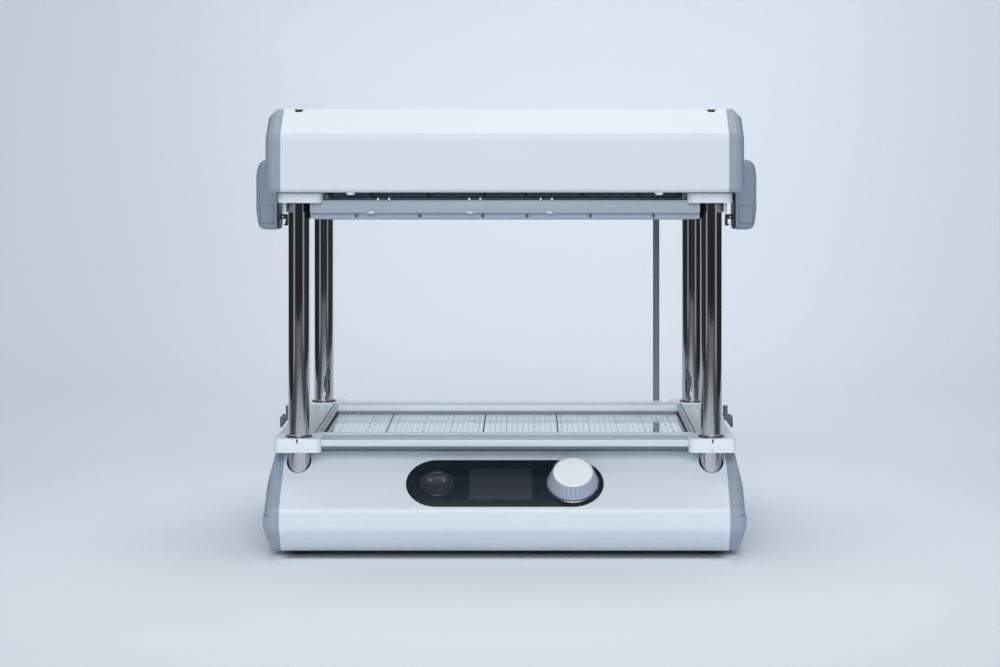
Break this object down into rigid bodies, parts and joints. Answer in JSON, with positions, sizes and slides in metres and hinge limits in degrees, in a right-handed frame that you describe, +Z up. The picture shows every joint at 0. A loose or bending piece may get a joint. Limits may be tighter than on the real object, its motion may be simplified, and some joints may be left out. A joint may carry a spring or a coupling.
{
  "type": "dental vacuum former",
  "caption": "Tabletop vacuum former: base with perforated bed and control panel, four posts, two sliding clamp frames with side handles, and a heater housing above.",
  "frame": {"origin": "on the table, under the middle of the machine's bounding box", "axes": "+Z up, the control panel faces -Y, +X to the right as seen from the front"},
  "size_m": [0.614, 0.45, 0.515],
  "materials": {
    "white_sheet": "semi-gloss white powder coat",
    "white_frame": "white powder coat on aluminium",
    "grey_moulding": "fine satin grey moulding",
    "white_plastic": "satin white",
    "black_plastic": "satin black",
    "gloss_black": "gloss black",
    "dark_glass": "dark display window",
    "circuit_board": "green solder mask",
    "black_rubber": "matt",
    "silicone": "translucent grey silicone",
    "steel_tube": "polished steel",
    "zinc_steel": "zinc plated",
    "motor_shell": "cast and sheet housings, partly hollow",
    "black_steel": "black oxide",
    "mirror_steel": "mirror polished",
    "reflector": "bright rolled",
    "ceramic": "glazed ceramic",
    "fibre": "ceramic fibre blanket",
    "grey_cable": "grey cable sheath"
  },
  "bodies": {
    "base": {"base_cover": "white_sheet", "base_pan": "zinc_steel", "base_cap_left": "grey_moulding", "base_cap_right": "grey_moulding", "feet": "black_rubber", "rest_pads": "black_rubber", "rear_panel": "grey_moulding", "mains_inlet": "black_plastic", "control_panel": "gloss_black", "display_lens": "dark_glass", "display_module": "black_plastic", "control_board": "circuit_board", "power_bezel": "black_plastic", "power_switch": "black_plastic", "knob_bezel": "white_plastic", "encoder": "zinc_steel", "bed_plate": "mirror_steel", "bed_gasket": "black_rubber", "vacuum_box": "zinc_steel", "motor_seal": "black_rubber", "vacuum_motor": "motor_shell", "power_supply": "motor_shell", "post_front_left": "steel_tube", "post_front_right": "steel_tube", "post_rear_left": "steel_tube", "post_rear_right": "steel_tube", "post_sockets": "zinc_steel", "post_spacers": "zinc_steel", "post_screws": "black_steel", "heater_cover": "white_sheet", "heater_cap_left": "grey_moulding", "heater_cap_right": "grey_moulding", "heater_tray": "reflector", "heating_elements": "ceramic", "insulation_pad": "fibre", "housing_pads": "white_plastic", "parking_magnets": "zinc_steel", "cable_glands": "black_plastic", "heater_cable": "grey_cable"},
    "upper_clamp": {"upper_frame": "white_frame", "upper_collars": "white_frame", "upper_bushes": "black_plastic", "upper_seal": "silicone", "frame_screws": "zinc_steel", "handle_plate_left": "black_plastic", "handle_plate_right": "black_plastic", "handle_shell_left": "grey_moulding", "handle_shell_right": "grey_moulding", "latch_pins": "zinc_steel"},
    "latch_left": {"latch_left": "black_plastic"},
    "latch_right": {"latch_right": "black_plastic"},
    "lower_clamp": {"lower_frame": "white_frame", "lower_collars": "white_frame", "lower_bushes": "black_plastic", "lower_seal": "silicone", "frame_catches": "zinc_steel"},
    "encoder_shaft": {"encoder_shaft": "zinc_steel"},
    "knob": {"knob_skirt": "grey_moulding", "knob_cap": "white_plastic"},
    "power_button": {"power_button": "gloss_black"}
  },
  "joints": [
    {"name": "upper_clamp_slide", "type": "slide", "parent": "base", "child": "upper_clamp", "axis": [0, 0, 1], "range_m": [-0.25, 0]},
    {"name": "lower_clamp_slide", "type": "slide", "parent": "base", "child": "lower_clamp", "axis": [0, 0, 1], "range_m": [0, 0.25]},
    {"name": "latch_left_swing", "type": "hinge", "parent": "upper_clamp", "child": "latch_left", "pos_m": [-0.2755, 0, 0.3823], "axis": [0, 1, 0], "range_deg": [0, 20]},
    {"name": "latch_right_swing", "type": "hinge", "parent": "upper_clamp", "child": "latch_right", "pos_m": [0.2755, 0, 0.3823], "axis": [0, -1, 0], "range_deg": [0, 20]},
    {"name": "knob_press", "type": "slide", "parent": "base", "child": "encoder_shaft", "axis": [0, -0.6314, 0.7754], "range_m": [-0.0008, 0], "stiffness_N_per_m": 1500, "springref_m": 0.001},
    {"name": "knob_turn", "type": "hinge", "parent": "encoder_shaft", "child": "knob", "pos_m": [0.0785, -0.20051, 0.09083], "axis": [0, -0.6314, 0.7754], "continuous": true},
    {"name": "power_press", "type": "slide", "parent": "base", "child": "power_button", "axis": [0, -0.6314, 0.7754], "range_m": [-0.0012, 0], "stiffness_N_per_m": 1000, "springref_m": 0.001}
  ]
}
